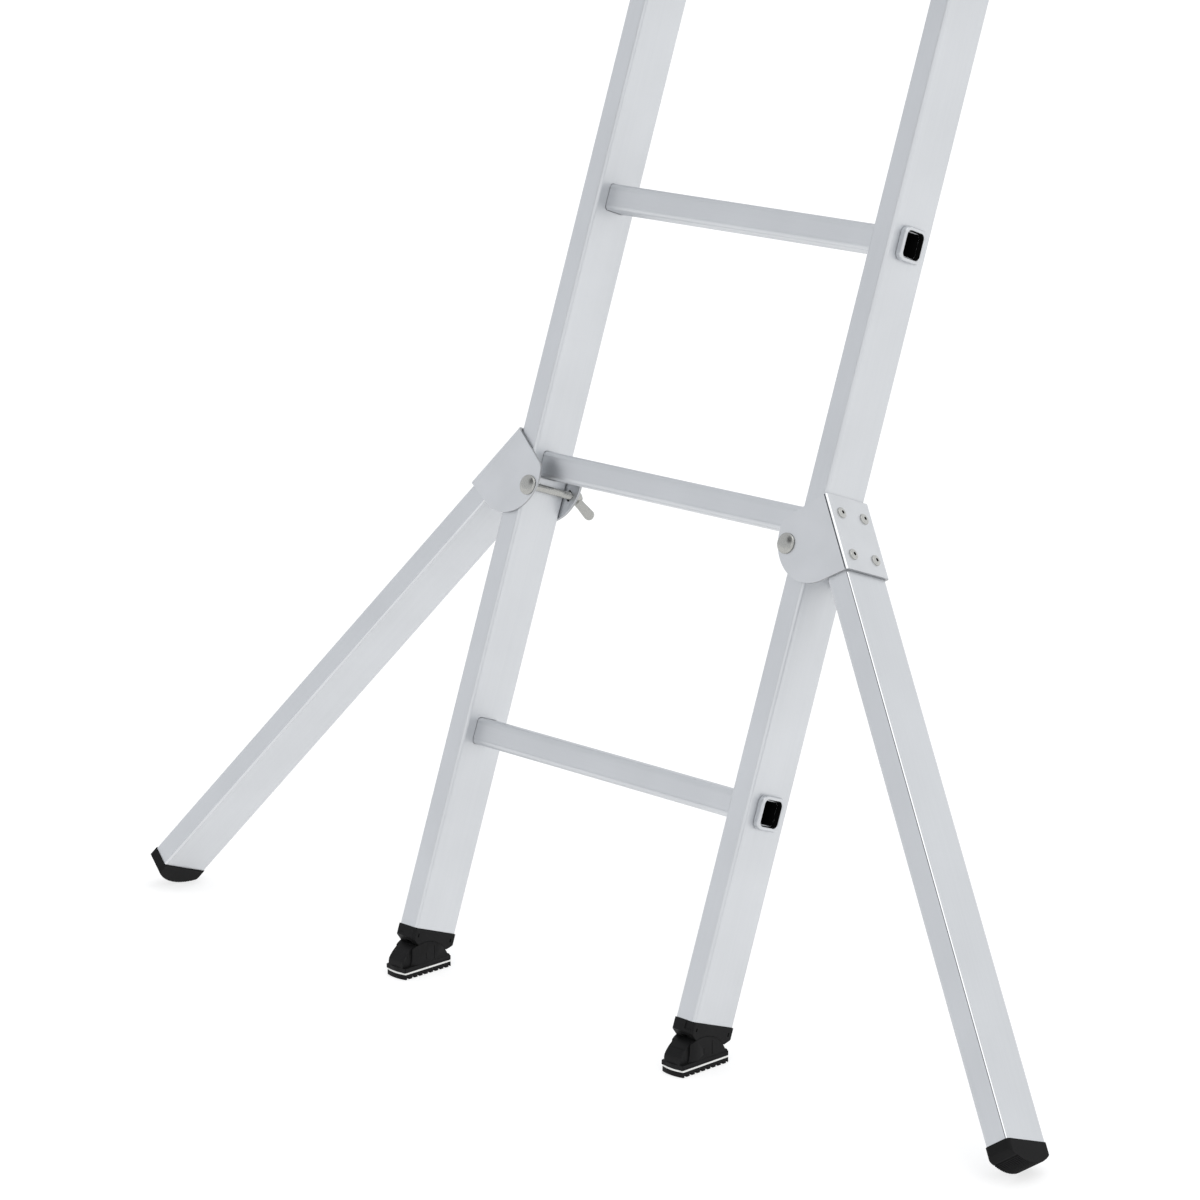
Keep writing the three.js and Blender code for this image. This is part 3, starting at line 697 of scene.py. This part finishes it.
# ---- rung locks --------------------------------------------------------------------------
def rung_lock():
    """A hook that swings on its pin and drops over a base rung."""
    rung_top = FLY_FIRST + RUNG_Z / 2 + GAP
    back = RUNG_MID + RUNG_Y / 2 + GAP
    pivot = FLY_FIRST + LOCK_RISE
    outline = [
        *arc(LOCK_Y, pivot, 10, 70, 235, 16),
        (RUNG_MID - RUNG_Y / 2 - 2, rung_top), (back, rung_top), (back, rung_top - 11),
        (back + 5, rung_top - 11), (back + 6.5, rung_top + 8), (back - 6, rung_top + 19),
    ]
    plate = prism("x", outline, LOCK_IN, LOCK_OUT)
    cut(plate, rod("x", PIN_HOLE, LOCK_IN - 1, LOCK_OUT + 1, (0, LOCK_Y, pivot)))
    cut(plate, rod("x", 7, LOCK_IN - 1, LOCK_IN + 1.2, (0, 14, FLY_FIRST + 33)))
    soften(plate, 0.6, 3)
    return plate


def lock_pin():
    """The headed pin that a rung lock swings on."""
    at = (0, LOCK_Y, FLY_FIRST + LOCK_RISE)
    profile = [(AXIS, LOCK_IN - 3), (5.4, LOCK_IN - 3), (7, LOCK_IN - 2.2), (7, LOCK_IN - GAP)]
    profile += [(4, LOCK_IN - GAP), (4, STILE_IN + 6), (AXIS, STILE_IN + 6)]
    pin = turned("x", profile, at, 32)
    soften(pin, 0.25)
    return pin


def make_locks():
    """The two rung locks and their pins."""
    for word, side in SIDES:
        settle(rung_lock(), f"rung_lock_{word}_plate", f"rung_lock_{word}", LADDER, LOCK_STEEL,
               [f"rung_lock_{word}"], side)
        settle(lock_pin(), f"lock_pin_{word}_turned", "fly", LADDER, STEEL,
               [f"lock_pin_{word}"], side)


# ---- outriggers --------------------------------------------------------------------------
def bracket():
    """A bent sheet: a web on the leg's outer face and two flanges with round lobes."""
    web = LEG_IN + STILE_X + GAP
    outer = web + SHEET
    near, far = -GAP, STILE_Y + GAP
    back = LEG_IN - 60
    bend, inner = outer - BEND_R, web - BEND_INNER_R
    section = [
        (back, near - SHEET), *arc(bend, near - SHEET + BEND_R, BEND_R, -90, 0, 8),
        *arc(bend, far + SHEET - BEND_R, BEND_R, 0, 90, 8), (back, far + SHEET), (back, far),
        *arc(inner, far - BEND_INNER_R, BEND_INNER_R, 90, 0, 4),
        *arc(inner, near + BEND_INNER_R, BEND_INNER_R, 0, -90, 4), (back, near),
    ]
    body = prism("z", section, BRACKET_LOW - 1, BRACKET_HIGH + 1)
    n, u, r = LOBE
    start = 180 - math.degrees(math.asin((BRACKET_HIGH - u) / r))
    lobe = arc(n, u, r, start + 3, 266, 40)
    lobe_top = lobe[0][0]
    outline = [
        (outer + 1, BRACKET_LOW), (outer + 1, BRACKET_HIGH), (lobe_top + 5, BRACKET_HIGH),
        (lobe_top + 2, BRACKET_HIGH - 0.5), *lobe,
    ]
    keep(body, prism("y", outline, near - SHEET - 1, far + SHEET + 1))
    square = box_outline(BOLT_N - 4.5, BOLT_N + 4.5, BOLT_U - 4.5, BOLT_U + 4.5)
    cut(body, prism("y", square, near - 5, far + 5))
    for y, u_at in rivet_places():
        cut(body, rod("x", 3.3, web - 1, outer + 1, (0, y, u_at)))
    soften(body, 0.35)
    paint_bends(body, SHEET_METAL, outer - BEND_R - 0.2)
    # The sheared edges are painted darker as shade and dark reflection.
    paint_edge_shade(body, outer)
    return body


def paint_bends(piece, metal, from_x=0.0):
    """The rounded bends beyond from_x take the smoother skin."""
    piece.data.materials.append(metal)
    piece.data.materials.append(BEND_METAL)
    for face in piece.data.polygons:
        if face.center.x > from_x and min(abs(face.normal.x), abs(face.normal.y)) > 0.08:
            face.material_index = 1


def paint_edge_shade(piece, outer):
    """The sheet's sheared edges are duller (rougher) than its faces, and painted darker as shade
    and dark reflection.
    """
    piece.data.materials.append(EDGE_SHADE_METAL)
    for face in piece.data.polygons:
        flange = face.center.x < outer - BEND_R - 0.2 and not -GAP < face.center.y < STILE_Y + GAP
        if abs(face.normal.z) > 0.7 or (flange and abs(face.normal.y) < 0.3):
            face.material_index = 2


def rivet_places():
    """The four rivets of a bracket, across and up the leg."""
    rows, columns = (RIVET_DU, -RIVET_DU), (-RIVET_DY, RIVET_DY)
    return [(RUNG_MID + dy, RIVET_U + du) for du in rows for dy in columns]


def leg():
    """The leg's tube, its top end cut parallel to the stile."""
    tube = box_tube(LEG_IN + STILE_X / 2, STILE_Y / 2, LEG_LOW, BRACKET_HIGH, LEG_CORNER)
    turn = Matrix.Rotation(SPLAY, 4, "Y")
    cut(tube, prism("z", box_outline(-400, LEG_CLEAR_X, -400, 400), -400, 1200, turn))
    soften(tube, SEAM)
    paint_bends(tube, STILE_METAL)
    return tube


def outrigger_foot():
    """A rubber cap: a short wall, then a rocker from front to back with fine cross ribs."""
    n, y = LEG_IN + STILE_X / 2, RUNG_MID
    half_y, sag, ribbed, ribs = STILE_Y / 2 + CAP["proud"], CAP["sag"], CAP["ribbed"], CAP["ribs"]
    radius = (half_y ** 2 + sag ** 2) / (2 * sag)
    low = LEG_LOW - CAP["wall"] - sag
    reach = math.degrees(math.asin(half_y / radius))
    smooth = ribbed + CAP["land"]
    step = 2 * ribbed / ribs
    outline = [(y - half_y, LEG_LOW - GAP)]
    outline += arc(y, low + radius, radius, 270 - reach, 270 - smooth, 8)
    for i in range(ribs):
        start = 270 - ribbed + step * i
        for share, inset in ((0.0, CAP["depth"]), (0.32, CAP["depth"]), (0.45, 0.0), (0.87, 0.0)):
            a = math.radians(start + step * share)
            out = radius - inset
            outline.append((y + out * math.cos(a), low + radius + out * math.sin(a)))
    outline += arc(y, low + radius, radius, 270 + smooth, 270 + reach, 8)
    outline.append((y + half_y, LEG_LOW - GAP))
    wider = 2 * CAP["proud"]
    block = rounded(STILE_X + wider, STILE_Y + wider, STILE_R + 1, n, y, 6)
    head = prism("z", block, low - 1, LEG_LOW - GAP)
    keep(head, prism("x", outline, LEG_IN - STILE_X, LEG_IN + 2 * STILE_X))
    join(head, prism("z", plug_outline(n, y), LEG_LOW - 2, LEG_LOW + 26))
    soften(head, 0.22, 2, 45)
    return head


def clamp_bolt():
    """A round-headed carriage bolt with a square neck and a threaded end."""
    seat = -2 * GAP - SHEET
    r, edge, shank_r = BOLT["head"], BOLT["edge"], BOLT["shank"]
    profile = [(AXIS, seat), (r - 0.2, seat), (r, seat - edge)]
    for i in range(1, 9):
        a = math.radians(90 * i / 9)
        profile.append((r * math.cos(a), seat - edge - (BOLT["rise"] - edge) * math.sin(a)))
    profile.append((AXIS, seat - BOLT["rise"]))
    at = (BOLT_N, 0, BOLT_U)
    bolt = turned("y", profile, at, 48)
    soften(bolt, 0.15, 2, 50)
    shank = [(AXIS, -1.0), (shank_r, -1.0), (shank_r, THREAD_LOW)]
    for i in range(THREAD_TURNS):
        y = THREAD_LOW + 0.5 + i * BOLT["pitch"]
        shank += [(BOLT["root"], y), (shank_r, y + 0.55), (shank_r, y + 0.7)]
    shank += [(3.4, BOLT_END - 0.6), (2.8, BOLT_END), (AXIS, BOLT_END)]
    stem = turned("y", shank, at, 28)
    soften(stem, 0, 2, 30)
    side = shank_r + 0.2
    square = box_outline(BOLT_N - side, BOLT_N + side, BOLT_U - side, BOLT_U + side)
    neck = prism("y", square, seat - 0.2, 0)
    soften(neck, 0.3)
    join_islands(bolt, stem)
    join_islands(bolt, neck)
    return bolt


def washer():
    """The flat washer between a bracket and its wing nut."""
    seat = STILE_Y + GAP + SHEET
    low, high = seat + WASHER_LOW, seat + WASHER_HIGH
    ring = turned("y", [(AXIS, low), (WASHER_R, low), (WASHER_R, high), (AXIS, high)], steps=36)
    cut(ring, rod("y", 4.25, seat - 2, seat + 4))
    soften(ring, 0.2)
    return ring


def wing_nut():
    """A flared hub with two rounded wings that lean back from the bracket."""
    seat = STILE_Y + GAP + SHEET + 2
    length, half, sheet = NUT["length"], NUT["half"], NUT["sheet"]
    profile = [(AXIS, seat), (7.6, seat), (8, seat + 0.5), (7.4, seat + 4)]
    profile += [(6.2, seat + length - 0.6), (5.6, seat + length), (AXIS, seat + length)]
    hub = turned("y", profile, steps=40)
    wing = [(0, -half - 0.1), (8, -half), *arc(NUT["tip"], 0, NUT["tip_r"], -97, 97, 20)]
    wing += [(8, half), (0, half + 0.1)]
    for side in (1, -1):
        lean = Matrix.Rotation(side * NUT_TILT, 4, "Z") @ Matrix.Diagonal((side, 1, 1, 1))
        spot = Matrix.Translation((side * NUT["out"], seat + NUT["up"], 0))
        join(hub, prism("y", wing, -sheet, sheet, spot @ lean))
    cut(hub, rod("y", PIN_HOLE, seat - 5, seat + 20))
    soften(hub, 0.9, 3, 50)
    return hub


def make_outriggers():
    """Both outriggers, with bracket, leg, foot, rivets, bolt, washer and nut."""
    for word, side in SIDES:
        body = f"outrigger_{word}"
        place = leg_place(side)
        settle(bracket(), f"outrigger_bracket_{word}_sheet", body, place, SHEET_METAL,
               [f"outrigger_bracket_{word}"], side)
        settle(leg(), f"outrigger_leg_{word}_extrusion", body, place, STILE_METAL,
               [f"outrigger_leg_{word}"], side)
        settle(outrigger_foot(), f"outrigger_foot_{word}_rubber", body, place, BLACK_RUBBER,
               [f"outrigger_foot_{word}"], side)
        settle(clamp_bolt(), f"clamp_bolt_{word}_carriage", body, place, STEEL,
               [f"clamp_bolt_{word}"], side)
        for i, (y, u) in enumerate(rivet_places()):
            seat = LEG_IN + STILE_X + 2 * GAP + SHEET
            at = (0, y, u)
            head = dome(RIVET_HEAD, RIVET_RISE, "x", seat, at)
            soften(head, 0, angle=40)
            # The rivet's hole is painted near-black as shade.
            paint_hole_shade(head, "x", seat, RIVET_STEEL, at)
            settle(head, f"bracket_rivet_{word}_{i + 1}_dome", body, place, RIVET_STEEL,
                   [f"bracket_rivet_{word}_{i + 1}"], side)
        spot = Matrix.Translation((side * BOLT_N * MM, 0, BOLT_U * MM))
        settle(washer(), f"wing_nut_washer_{word}", body, place @ spot, STEEL, (),
               side)
        turn = Matrix.Rotation(side * (SPLAY + NUT_TURN), 4, "Y")
        nut = f"wing_nut_{word}"
        settle(wing_nut(), f"{nut}_casting", nut, place @ spot @ turn, STEEL,
               [f"wing_nut_{word}"], side)


# ---- levelling shoes ---------------------------------------------------------------------
def shoe_socket():
    """The plug in the stile's foot, with its collar and the round saddle under it."""
    cx, cy = STILE_MID, STILE_Y / 2
    low, high = SOCKET_LOW, BASE_LOW - GAP
    body = prism("z", rounded(STILE_X + LIP, STILE_Y + LIP, STILE_R, cx, cy, 5), low, high)
    for edge, inward in ((-LIP, 1), (STILE_Y + LIP, -1)):
        bevel = [(edge, low - 1), (edge + inward * 11.8, low - 1)]
        bevel += [(edge + inward * 3, low + 5), (edge, low + 6)]
        cut(body, prism("x", bevel, STILE_IN - 5, HALF + 5))
    join(body, prism("z", plug_outline(cx, cy), BASE_LOW - 2, BASE_LOW + SOCKET_PLUG))
    cut(body, rod("x", SHOE_R, STILE_IN - 5, HALF + 5, (0, SHOE_Y, SHOE_Z), 96))
    ring = arc(0, 0, TONGUE_IN, 128, 52, 8) + arc(0, 0, TONGUE_OUT + 2 * GAP, 52, 128, 16)
    cut(body, prism("x", [(a + SHOE_Y, b + SHOE_Z) for a, b in ring], cx - 4, cx + 4))
    # A shallow panel in front and a clip slot near each end of both cheeks.
    panel = [(cx + 3, low + 8.6), (cx + 14, low + 8.6), (cx + 14, high + 1), (cx + 3, high + 1)]
    cut(body, prism("y", panel, -3, -0.1))
    for y in (5.6, 52.0):
        for x in (STILE_IN - 1, HALF + 1):
            cut(body, prism("z", rounded(3.0, 1.5, 0.4, x, y, 2), low + 8.0, low + 11.6))
    soften(body, 0.35)
    return body


def shoe_pin():
    """The pin across the socket that keeps the foot on while it rocks."""
    at = (0, SHOE_Y, SHOE_Z + SHOE_PIN_R)
    end, full, tip = SHOE_PIN_HALF, SHOE_PIN_RADIUS, SHOE_PIN_RADIUS - 0.4
    profile = [(AXIS, STILE_MID - end), (tip, STILE_MID - end), (full, STILE_MID - end + 0.4)]
    profile += [(full, STILE_MID + end - 0.4), (tip, STILE_MID + end), (AXIS, STILE_MID + end)]
    pin = turned("x", profile, at, 24)
    soften(pin, 0)
    return pin


def sole_outline(grow=0.0):
    """The sole from above, with a shallow bow across its toe."""
    half = SOLE_X / 2 + grow
    front = SOLE_FRONT - grow
    bow = 2.4
    nose = []
    for i in range(9):
        share = i / 8
        nose.append((STILE_MID - half + 2 * half * share, front + bow * (2 * share - 1) ** 2))
    return [*nose, (STILE_MID + half, SOLE_BACK + grow), (STILE_MID - half, SOLE_BACK + grow)]


def shoe_foot():
    """The rocking foot: a round nose between two full-width cheeks that are set back from it."""
    low = TREAD + PLATE + 2 * GAP - SHOE_HEIGHT
    flange = low + FLANGE
    toe, heel = SOLE_FRONT + 1, SOLE_BACK - 1
    profile = [(toe, low), (heel, low), (heel, 12.8), (heel - 1.2, 14.0)]
    profile += arc(0, 0, SHOE_R - GAP, 25.5, 147, 60) + [(toe, 15.5)]
    body = prism("x", profile, STILE_MID - CHEEK, STILE_MID + CHEEK)
    for side in (1, -1):
        scoop = [(CHEEK, -8), (13.4, -11), (12.8, -14), (11.9, -17), (NOSE, -20.5)]
        scoop += [(NOSE, -45), (24, -45), (24, -8)]
        cut(body, prism("z", [(STILE_MID + side * x, v) for x, v in scoop], flange, 60))
        slot = [(-45, flange), (-18.6, flange), (-17.8, 14), (-16.2, 21), (-14.2, 27.5)]
        slot += [(-16, 34), (-45, 34)]
        reach = sorted((STILE_MID + side * NOSE, STILE_MID + side * (NOSE + 1.5)))
        cut(body, prism("x", slot, *reach))
        edge = STILE_MID + side * CHEEK
        for v, bottom, top in ((1.0, 16.0, 22.5), (12.4, 13.2, 27.5)):
            groove = rounded(1.2, 0.7, 0.25, edge, v, 2)
            cut(body, prism("z", groove, bottom, top))
    join(body, prism("z", sole_outline(), low, flange))
    ring = arc(0, 0, TONGUE_IN, 98.8, 54.2, 8) + arc(0, 0, TONGUE_OUT, 54.2, 98.8, 20)
    tongue = prism("x", ring, STILE_MID - TONGUE_HALF, STILE_MID + TONGUE_HALF)
    half = SHOE_PIN_RADIUS + GAP
    slot = arc(0, 0, SHOE_PIN_R + half, 59.4, 93.6, 12)
    slot += arc(0, 0, SHOE_PIN_R - half, 93.6, 59.4, 12)
    cut(tongue, prism("x", slot, STILE_MID - 7, STILE_MID + 7))
    join(body, tongue)
    soften(body, 0.45, 2, 45)
    return body


def wear_plate():
    """The pale layer between the foot and its tread."""
    low = TREAD + GAP - SHOE_HEIGHT
    plate = prism("z", sole_outline(0.1), low, low + PLATE)
    soften(plate, 0.2)
    return plate


def tread():
    """The rubber sole, slit across into teeth."""
    body = prism("z", sole_outline(), -SHOE_HEIGHT, TREAD - SHOE_HEIGHT)
    pitch = (SOLE_BACK - SOLE_FRONT) / TEETH
    slit = pitch * 0.42
    bm = bmesh.new()
    for i in range(TEETH):
        y = SOLE_FRONT + (i + 0.78) * pitch
        gap = box_outline(y - slit / 2, y + slit / 2, -5, TOOTH_DEPTH - SHOE_HEIGHT)
        add_prism(bm, "x", gap, STILE_MID - SOLE_X, STILE_MID + SOLE_X)
    cut(body, solid(bm))
    soften(body, 0.3)
    return body


def make_shoes():
    """Both shoes, with socket, foot, pin, wear plate and tread."""
    for word, side in SIDES:
        settle(shoe_socket(), f"shoe_socket_{word}_moulding", "base", LADDER, BLACK_PLASTIC,
               [f"shoe_socket_{word}"], side)
        settle(shoe_pin(), f"shoe_pin_{word}_turned", "base", LADDER, STEEL,
               [f"shoe_pin_{word}"], side)
        body = f"shoe_{word}"
        place = shoe_place()
        settle(shoe_foot(), f"shoe_foot_{word}_moulding", body, place, BLACK_PLASTIC,
               [f"shoe_foot_{word}"], side)
        settle(wear_plate(), f"shoe_wear_plate_{word}_layer", body, place, WEAR_WHITE,
               [f"shoe_wear_plate_{word}"], side)
        settle(tread(), f"shoe_tread_{word}_rubber", body, place, BLACK_RUBBER,
               [f"shoe_tread_{word}"], side)


# ---- studio ------------------------------------------------------------------------------
def make_floor():
    """A pale floor that glows a little, so that it stays white under the ladder."""
    bm = bmesh.new()
    bmesh.ops.create_grid(bm, x_segments=8, y_segments=8, size=FLOOR_SIZE)
    floor = solid(bm)
    floor.name = "studio_floor"
    material, _, _, main = shader("floor_white", (FLOOR_WHITE,) * 3, 0.0, 0.9)
    main.inputs["Specular IOR Level"].default_value = 0.0
    main.inputs["Emission Color"].default_value = (1, 1, 1, 1)
    main.inputs["Emission Strength"].default_value = FLOOR_GLOW
    floor.data.materials.append(material)
    floor.location.z = -0.0005


def add_patch(nodes, links, where, colour, aim, spread, paint):
    """Paints a soft round patch of the studio's walls over the colour it is given."""
    toward = nodes.new("ShaderNodeVectorMath")
    toward.operation = "DOT_PRODUCT"
    toward.inputs[1].default_value = Vector(aim).normalized()
    edge = nodes.new("ShaderNodeMapRange")
    edge.interpolation_type = "SMOOTHSTEP"
    edge.inputs["From Min"].default_value = math.cos(math.radians(spread[1]))
    edge.inputs["From Max"].default_value = math.cos(math.radians(spread[0]))
    mix = nodes.new("ShaderNodeMix")
    mix.data_type = "RGBA"
    mix.inputs["B"].default_value = (*paint, 1)
    links.new(where, toward.inputs[0])
    links.new(toward.outputs["Value"], edge.inputs["Value"])
    links.new(edge.outputs["Result"], mix.inputs["Factor"])
    links.new(colour, mix.inputs["A"])
    return mix.outputs["Result"]


def make_light():
    """Even studio light, brighter from the right, with a dark card that edges the metal."""
    world = bpy.data.worlds.new("studio")
    bpy.context.scene.world = world
    world.use_nodes = True
    nodes, links = world.node_tree.nodes, world.node_tree.links
    where = nodes.new("ShaderNodeTexCoord").outputs["Generated"]
    wall = nodes.new("ShaderNodeRGB")
    wall.outputs[0].default_value = WALL_COLOUR
    colour = wall.outputs[0]
    for aim, spread, paint in PATCHES:
        colour = add_patch(nodes, links, where, colour, aim, spread, paint)
    links.new(colour, nodes["Background"].inputs["Color"])
    bpy.context.scene.view_settings.view_transform = "Standard"


def make_camera():
    """The photograph's view, given on the ladder's own axes."""
    right, down, ahead = Vector(VIEW_RIGHT), Vector(VIEW_DOWN), Vector(VIEW_AHEAD)
    turn = Matrix((right, -down, -ahead)).transposed().to_4x4()
    lens = bpy.data.cameras.new("view")
    lens.sensor_width = SENSOR
    lens.lens = FOCAL
    lens.shift_x = SHIFT_X
    lens.shift_y = SHIFT_Y
    lens.clip_end = 200
    camera = bpy.data.objects.new("view", lens)
    camera.matrix_world = LADDER @ Matrix.Translation(Vector(EYE) * MM) @ turn
    bpy.context.scene.collection.objects.link(camera)
    bpy.context.scene.camera = camera


make_camera()
make_light()
make_floor()
make_stiles()
make_rungs()
make_caps()
make_guides()
make_locks()
make_outriggers()
make_shoes()
